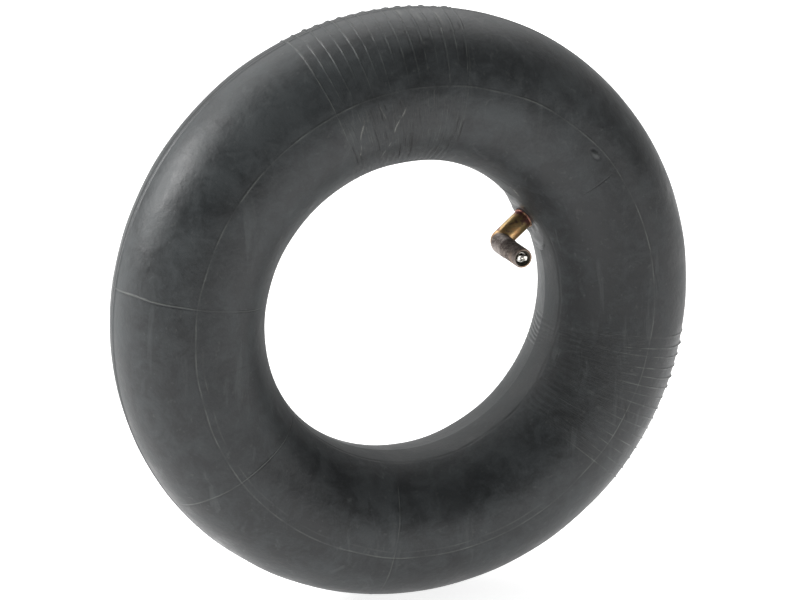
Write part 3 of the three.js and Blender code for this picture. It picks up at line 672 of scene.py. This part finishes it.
# %% [markdown]
# ## The rubber base of the valve
# A thin patch of rubber is moulded round the stem's foot and cured onto the ring. The stem leans towards the front,
# so the rubber is pulled down on that side of the collar and pushed up on the other. From the collar outwards the
# surface therefore blends from the collar's own tilted plane to a patch that thins to nothing at its edge. Its boss
# goes down through the wall and holds the flange.

# %% Where the base lies
def above_root(along, across, height):
    """A point over the ring's inner band. along runs round the ring, and across runs towards +Y."""
    return on_ring(valve_u + np.degrees(along / INNER_R), 180 + np.degrees(across / SECTION_R), height)


STEM_HUG = 3.95
pad_angle = np.linspace(0, 2 * math.pi, 120, endpoint=False)[None, :]
pad_shares = np.concatenate([np.linspace(STEM_HUG, 6.2, 12) / PAD_ACROSS, np.linspace(0.62, 1.0, 24)])[:, None]
reach = 1 + 0.03 * np.sin(3 * pad_angle + 1.0) + 0.02 * np.sin(7 * pad_angle + 2.0)
round_share = fade(pad_shares, 0.38, 0.75)
along = pad_shares * np.cos(pad_angle) * (PAD_ACROSS * (1 - round_share) + PAD_ALONG * reach * round_share)
across = pad_shares * np.sin(pad_angle) * PAD_ACROSS * (1 + (reach - 1) * round_share)
distance = np.hypot(along, across)
print("base", round(float(np.ptp(along)), 1), "by", round(float(np.ptp(across)), 1))

# %% The height of its top
tilted = across * math.tan(STEM_LEAN)
tilted = (tilted - 0.3 + np.hypot(tilted + 0.3, 0.35)) / 2
by_collar = fade(distance, 10.5, 4.6)
patch = 1.0 * fade(pad_shares, 1.04, 0.5) - 0.2
lip = 0.12 + 0.2 * peak(distance, 5.1, 0.5)
surface = above_root(along, across, 0)
lumps = 0.10 * waves(surface, 9, 3, 14, 31) * (patch + 0.2)
top = (tilted + lip) * by_collar + patch * (1 - by_collar) + lumps
top += band_height(valve_u + np.degrees(along / INNER_R), across / SECTION_R) + unevenness(surface)
print("top from", round(float(top.min()), 2), "to", round(float(top.max()), 2))

# %% The base's mesh
BOSS_R, BOSS_DEPTH = 8.0, 5.2
EDGE_ROWS = ((1.0, -0.5), (0.8, -1.0))
BOSS_ROWS = ((BOSS_R, -1.6), (BOSS_R, -BOSS_DEPTH), (5.0, -5.4), (4.3, -BOSS_DEPTH))
pad_rows = [above_root(along, across, top)]
for share, depth in EDGE_ROWS:
    pad_rows.append(above_root(np.cos(pad_angle) * share * PAD_ALONG * reach,
                               np.sin(pad_angle) * share * PAD_ACROSS * reach, depth))
for boss, depth in BOSS_ROWS:
    pad_rows.append(above_root(np.cos(pad_angle) * boss, np.sin(pad_angle) * boss, depth))
pad = grid_piece("valve_base", np.concatenate(pad_rows))
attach(pad, "tube")
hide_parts("valve_pad")
butyl("base_rubber", BASE_DARK, BASE_DUSTY, on_the_ring=False).wear(pad)
print("valve_base", len(pad.data.vertices), "points")


# %% [markdown]
# ## Brass that has been handled
# The stem was plated thinly and has tarnished: the root leg still shines gold through olive, purple and orange
# stains, with fine lines from the lathe, and the mouth leg has gone a dull grey brown. The stains are noises with
# their own thresholds, laid over each other by where they lie along the stem. The bore is painted dark, as painted
# shade.

# %% Colours of tarnish
GOLD, BRIGHT_GOLD, OLIVE = (0.68, 0.42, 0.18), (0.86, 0.59, 0.30), (0.40, 0.31, 0.14)
ORANGE, PURPLE, WINE = (0.78, 0.40, 0.17), (0.20, 0.10, 0.10), (0.19, 0.065, 0.07)
DULL, DULL_PALE, FLECK = (0.10, 0.075, 0.065), (0.27, 0.23, 0.21), (0.46, 0.40, 0.35)
# The bore's grey is painted shade.
PIT, COPPER, BORE_SHADE = (0.05, 0.032, 0.03), (0.50, 0.31, 0.19), (0.035, 0.030, 0.020)


def root_gold(f, path, blotch, fine, wide):
    """The root leg's gold with its stains. They are darkest by the collar."""
    gold = f.mix(f.span(fine, 0.3, 0.7), GOLD, BRIGHT_GOLD)
    gold = f.mix(f.span(wide, 0.46, 0.62, 0, 0.7), gold, OLIVE)
    gold = f.mix(f.span(blotch, 0.47, 0.40, 0, 0.6), gold, ORANGE)
    gold = f.mix(f.span(blotch, 0.53, 0.60, 0, 0.8), gold, PURPLE)
    by_collar = f.span(path, ROOT - 4.0, ROOT - 1.6, 0, 0.85)
    return f.mix(f.sum("MULTIPLY", by_collar, f.span(blotch, 0.38, 0.52)), gold, WINE)


def mouth_brown(f, path, blotch, fine, wide):
    """The mouth leg's dull brown, flecked and pitted, with copper showing by the mouth."""
    dull = f.mix(f.span(blotch, 0.38, 0.62), DULL, DULL_PALE)
    dull = f.mix(f.span(fine, 0.52, 0.66, 0, 0.75), dull, FLECK)
    dull = f.mix(f.span(fine, 0.44, 0.34, 0, 0.6), dull, PIT)
    near_mouth = f.span(path, 6.0, 1.0)
    return f.mix(f.sum("MULTIPLY", near_mouth, f.span(wide, 0.42, 0.6)), dull, COPPER)


# %% Tarnished brass
def tarnished_brass():
    f = Finish("tarnished_brass")
    path = f.value("along")
    root_leg = f.span(path, MOUTH_LEG - 2.4, MOUTH_LEG + 0.4)
    blotch = f.noise(210, 4, 0.6, distortion=0.6)
    fine = f.noise(900, 4, 0.65)
    wide = f.noise(120, 3, 0.5)
    colour = f.mix(root_leg, mouth_brown(f, path, blotch, fine, wide), root_gold(f, path, blotch, fine, wide))
    # Painted shade: the bore is darkened.
    colour = f.mix(f.value("bore"), colour, BORE_SHADE)
    dull_rough = f.sum("MULTIPLY", f.span(fine, 0.3, 0.7, 0.42, 0.6), f.sum("SUBTRACT", 1.0, root_leg))
    gold_rough = f.sum("MULTIPLY", f.span(fine, 0.3, 0.7, 0.28, 0.42), root_leg)
    lathe = f.add("CombineXYZ", f.sum("MULTIPLY", path, 7.0), 0.0, 0.0).outputs[0]
    normal = f.bump(0.35, 0.00006, f.noise(1.0, 3, 0.7, lathe))
    f.put(f.shader.inputs["Base Color"], colour)
    f.put(f.shader.inputs["Roughness"], f.sum("ADD", dull_rough, gold_rough))
    f.put(f.shader.inputs["Metallic"], f.span(root_leg, 0, 1, 0.62, 0.95))
    f.put(f.shader.inputs["Normal"], f.bump(0.25, 0.0001, fine, normal))
    return f


tarnished_brass().wear(stem)
print("tarnished_brass is on", stem.name)


# %% [markdown]
# ## The valve core
# The core is a small assembly of its own: a threaded plug with a flat bridge, which a slotted key turns, a barrel
# that hangs from it, a sealing ring, and a sprung pin that closes the barrel with a rubber washer in a cup. Only the
# bridge and the tip of the pin are seen in the mouth, so these get rounded edges and a plug with its thread. The
# parts behind them are carried over from the CAD model and get finishes of their own.

# %% Turned pieces of the core
def turned_piece(name, profile, body, node, count=64, helix=None):
    """A closed ring from (depth, radius) pairs in order round its wall. helix is a thread for sizes of None."""
    angle = np.linspace(0, 2 * math.pi, count, endpoint=False)[None, :]
    depth = np.array([p for p, _ in profile])[:, None] * np.ones_like(angle)
    radius = np.array([np.nan if r is None else r for _, r in profile])[:, None] * np.ones_like(angle)
    if helix:
        radius = np.where(np.isnan(radius), thread(depth, angle, **helix), radius)
    points = in_frame(np.stack([radius * np.cos(angle), radius * np.sin(angle), depth], -1))
    piece = grid_piece(name, points, values={"along": depth})
    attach(piece, body)
    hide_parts(node)
    print(name, len(piece.data.vertices), "points")
    return piece


# %% The plug
PLUG_THREAD = dict(root=2.24, crest=2.54, pitch=CORE_THREAD["pitch"])
PLUG_BORE_R, SWIVEL_R, PLUG_END = 1.45, 1.85, 9.4
plug_outside = [(1.9, 1.55), (1.9, 2.02), (1.98, 2.12)]
plug_outside += [(depth, None) for depth in np.arange(2.1, 7.35, 0.085)]
plug_outside += [(7.4, 2.19), (9.3, 2.19), (PLUG_END, 2.1), (PLUG_END, 1.5)]
plug_inside = [(8.9, 1.5), (8.9, SWIVEL_R), (7.8, SWIVEL_R), (7.8, PLUG_BORE_R), (2.1, PLUG_BORE_R)]
plug = turned_piece("core_plug_ring", plug_outside + plug_inside, "plug", "core_plug",
                    helix=PLUG_THREAD)

# %% [markdown]
# The bridge is the flat that a key grips. Seen from the mouth it is a strip with round ends, its top sinks a little
# towards both ends, and the pin comes up through its hole. Its rows go up the outside, over the rounded edge, and
# down the hole.

# %% The bridge of the plug
BRIDGE_ANGLE = math.radians(128)
HALF_WIDTH, BRIDGE_R, HOLE_R = 1.02, 2.17, 0.74
BRIDGE_TOP, BRIDGE_FOOT, ROUNDNESS = 0.62, 2.9, 14.0
bridge_angle = np.linspace(0, 2 * math.pi, 96, endpoint=False)[None, :]
flat = HALF_WIDTH / np.maximum(np.abs(np.cos(bridge_angle - BRIDGE_ANGLE)), 1e-6)
outline = 1 / (flat**-ROUNDNESS + BRIDGE_R**-ROUNDNESS) ** (1 / ROUNDNESS)
saddle = 0.22 * fade(np.abs(np.sin(bridge_angle - BRIDGE_ANGLE)), 0.2, 0.95)
bridge_rows = [(outline - inset, depth, share) for inset, depth, share in (
    (0.0, BRIDGE_FOOT, 0), (0.0, 1.0, 0), (0.04, 0.84, 0.6), (0.12, 0.72, 0.9), (0.24, 0.65, 1),
    (0.4, BRIDGE_TOP, 1))]
bridge_rows += [(hole * np.ones_like(outline), depth, share) for hole, depth, share in (
    (HOLE_R + 0.22, 0.64, 0.5), (HOLE_R + 0.08, 0.70, 0.2), (HOLE_R, 0.8, 0), (HOLE_R, BRIDGE_FOOT, 0))]
bridge_points = np.concatenate([
    np.stack([radius * np.cos(bridge_angle), radius * np.sin(bridge_angle), depth - saddle * share], -1)
    for radius, depth, share in bridge_rows])
bridge = grid_piece("core_plug_bridge", in_frame(bridge_points), values={"along": bridge_points[..., 2]})
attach(bridge, "plug")
print("core_plug_bridge", len(bridge.data.vertices), "points")

# %% The pin, with its round tip and the stop that the spring pushes on
PIN_R, STOP_R, ON_AXIS = 0.55, 0.95, 0.02
tip_angles = np.linspace(0, math.pi / 2, 9)
pin_tip = [(0.35 + 0.3 * (1 - math.cos(a)), ON_AXIS + 0.53 * math.sin(a)) for a in tip_angles]
pin_profile = pin_tip + [(11.2, PIN_R), (11.22, 0.9), (11.27, STOP_R), (11.53, STOP_R), (11.58, 0.9),
                         (11.6, PIN_R), (18.5, PIN_R), (18.5, ON_AXIS)]
pin = turned_piece("core_pin_rod", pin_profile, "pin", "core_pin", count=48)

# %% [markdown]
# The return spring shortens while the pin is pressed in. Its wire is a helix with close end turns.

# %% The return spring's wire
SPRING_R, WIRE_R, TURNS, WIRE_ROOM = 0.84, 0.105, 9, 0.11
spring_low, spring_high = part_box("core_spring")
spring_from = spring_low.y / MM - MOUTH_Y + WIRE_ROOM
spring_to = spring_high.y / MM - MOUTH_Y - WIRE_ROOM
turn = np.linspace(0, TURNS, TURNS * 28 + 1)[:, None]
rise = np.interp(turn, [0, 1, TURNS - 1, TURNS], [0, 0.045, 0.955, 1.0])
wire = np.linspace(0, 2 * math.pi, 12, endpoint=False)[None, :]
wire_radius = SPRING_R + WIRE_R * np.cos(wire)
wire_depth = spring_from + (spring_to - spring_from) * rise + WIRE_R * np.sin(wire)
wire_points = np.stack(np.broadcast_arrays(wire_radius * np.cos(2 * math.pi * turn),
                                           wire_radius * np.sin(2 * math.pi * turn), wire_depth), -1)
print(f"{TURNS} turns from {spring_from:.2f} to {spring_to:.2f} below the mouth")


# %% The return spring
def drawn_in(ring_of_points):
    """The same ring of points at a fiftieth of its size, which closes an end of the wire."""
    middle = ring_of_points.mean(1, keepdims=True)
    return middle + 0.02 * (ring_of_points - middle)


spring_points = np.concatenate([drawn_in(wire_points[:1]), wire_points, drawn_in(wire_points[-1:])])
spring = grid_piece("core_return_spring", in_frame(spring_points), closed_rows=False, values={"along": 0.0})
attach(spring, "core")
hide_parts("core_spring")
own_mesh(spring)


# %% Finishes of the core
def metal(name, light, dark, roughness):
    f = Finish(name)
    tone = f.noise(600, 4, 0.6)
    fine = f.noise(2600, 3, 0.6)
    lathe = f.add("CombineXYZ", f.sum("MULTIPLY", f.value("along"), 11.0), 0.0, 0.0).outputs[0]
    colour = f.mix(f.span(tone, 0.35, 0.65), dark, light)
    f.put(f.shader.inputs["Base Color"], colour)
    f.put(f.shader.inputs["Roughness"], f.span(tone, 0.3, 0.7, roughness, roughness + 0.12))
    f.shader.inputs["Metallic"].default_value = 1.0
    normal = f.bump(0.2, 0.00003, f.noise(1.0, 3, 0.6, lathe))
    f.put(f.shader.inputs["Normal"], f.bump(0.15, 0.00003, fine, normal))
    return f


def moulded(name, light, dark, roughness):
    f = Finish(name)
    tone = f.noise(700, 5, 0.6)
    f.put(f.shader.inputs["Base Color"], f.mix(f.span(tone, 0.35, 0.65), dark, light))
    f.put(f.shader.inputs["Roughness"], f.span(tone, 0.3, 0.7, roughness, roughness + 0.15))
    f.put(f.shader.inputs["Normal"], f.bump(0.3, 0.00004, f.noise(2100, 4, 0.6)))
    return f


metal("nickel", (0.93, 0.91, 0.86), (0.74, 0.72, 0.67), 0.2).wear(plug, bridge, pin)
metal("spring_steel", (0.72, 0.73, 0.75), (0.50, 0.51, 0.53), 0.25).wear(spring)
brass = metal("core_brass", (0.80, 0.55, 0.24), (0.62, 0.40, 0.16), 0.25)
brass.wear(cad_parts["core_barrel"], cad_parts["core_cup"])
moulded("seal_plastic", (0.44, 0.045, 0.03), (0.33, 0.03, 0.022), 0.4).wear(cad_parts["core_gasket"])
moulded("seal_rubber", (0.030, 0.031, 0.033), (0.016, 0.017, 0.018), 0.55).wear(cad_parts["core_cup_seal"])
print(len(bpy.data.materials), "finishes")

# %% [markdown]
# ## Floor, light and camera
# A pale floor runs far behind the ring and shows nearly white. It also glows a little, most near the ring's foot,
# so that it stays pale there without a light that would flood the rubber. A wide soft light stands high behind the
# ring, a second one to the left gives the outer shoulder its broad sheen, and a faint strip stands on the right. The
# room in front stays dim, which is what lets the front of the rubber go deep grey. The camera looks from the left
# and a little above with a long lens.

# %% Floor
GLOW_FAR, GLOW_NEAR = 0.56, 0.84
FOOT = (0.08, -3.05, 0)
floor_z = (ring_low.z / MM - 0.5) * MM
bpy.ops.mesh.primitive_grid_add(x_subdivisions=8, y_subdivisions=8, size=14, location=(0, 3, floor_z))
floor = bpy.context.object
floor.name = "floor"
paint = Finish("pale_floor")
tone = paint.span(paint.noise(3.0, 3, 0.5), 0.3, 0.7, 0.90, 0.93)
from_foot = paint.add("VectorMath", paint.place, FOOT, props={"operation": "DISTANCE"}).outputs["Value"]
paint.put(paint.shader.inputs["Base Color"], paint.add("CombineXYZ", tone, tone, tone).outputs[0])
paint.shader.inputs["Roughness"].default_value = 0.9
paint.shader.inputs["Emission Color"].default_value = (1, 1, 1, 1)
paint.put(paint.shader.inputs["Emission Strength"], paint.span(from_foot, 0.42, 0.06, GLOW_FAR, GLOW_NEAR))
paint.wear(floor)
print("floor at", round(floor_z, 4))


# %% Lights
def soft_light(name, place, target, width, depth, power):
    light = bpy.data.lights.new(name, "AREA")
    light.shape, light.size, light.size_y, light.energy = "RECTANGLE", width, depth, power
    lamp = bpy.data.objects.new(name, light)
    lamp.location = place
    lamp.rotation_euler = (Vector(target) - Vector(place)).to_track_quat("-Z", "Y").to_euler()
    bpy.context.scene.collection.objects.link(lamp)
    print(name, power, "W at", place)


soft_light("behind", (0.1, 1.3, 1.7), (0, 0.7, 0), 3.0, 2.2, 36)
soft_light("left", (-1.24, 0.40, 0.70), (0, 0, 0), 0.65, 0.65, 19)
soft_light("right", (1.15, -0.93, 0.0), (0, 0, 0), 0.22, 0.7, 1.6)

# %% The room, dim in front and brighter behind
ROOM_FRONT, ROOM_BACK = 0.20, 0.66
world = bpy.data.worlds.new("room")
bpy.context.scene.world = world
world.use_nodes = True
nodes, links = world.node_tree.nodes, world.node_tree.links
background = nodes["Background"]
way = nodes.new("ShaderNodeSeparateXYZ")
ramp = nodes.new("ShaderNodeMapRange")
for socket, value in (("From Min", -0.4), ("From Max", 0.8), ("To Min", ROOM_FRONT), ("To Max", ROOM_BACK)):
    ramp.inputs[socket].default_value = value
links.new(nodes.new("ShaderNodeTexCoord").outputs["Generated"], way.inputs[0])
links.new(way.outputs["Y"], ramp.inputs["Value"])
links.new(ramp.outputs[0], background.inputs["Strength"])
background.inputs["Color"].default_value = (1, 1, 1, 1)
print("room from", ROOM_FRONT, "to", ROOM_BACK)

# %% Camera
AZIMUTH, ELEVATION = math.radians(-20.24), math.radians(16.73)
AWAY, ASIDE, ABOVE = 15.775, -0.019, 0.021
back = Vector((math.sin(AZIMUTH) * math.cos(ELEVATION), -math.cos(AZIMUTH) * math.cos(ELEVATION),
               math.sin(ELEVATION)))
right = Vector((math.cos(AZIMUTH), math.sin(AZIMUTH), 0))
up = back.cross(right)
lens = bpy.data.cameras.new("camera")
lens.lens, lens.sensor_width = 160.56, 36
lens.clip_start, lens.clip_end = 0.05, 60
camera = bpy.data.objects.new("camera", lens)
axes = Matrix((right, up, back)).transposed().to_4x4()
camera.matrix_world = Matrix.Translation((ASIDE * right + ABOVE * up + AWAY * back) * RING_R * MM) @ axes
bpy.context.scene.collection.objects.link(camera)
bpy.context.scene.camera = camera
bpy.context.scene.view_settings.view_transform = "Standard"
bpy.context.scene.view_settings.look = "None"
print("camera", [round(x, 3) for x in camera.matrix_world.translation])
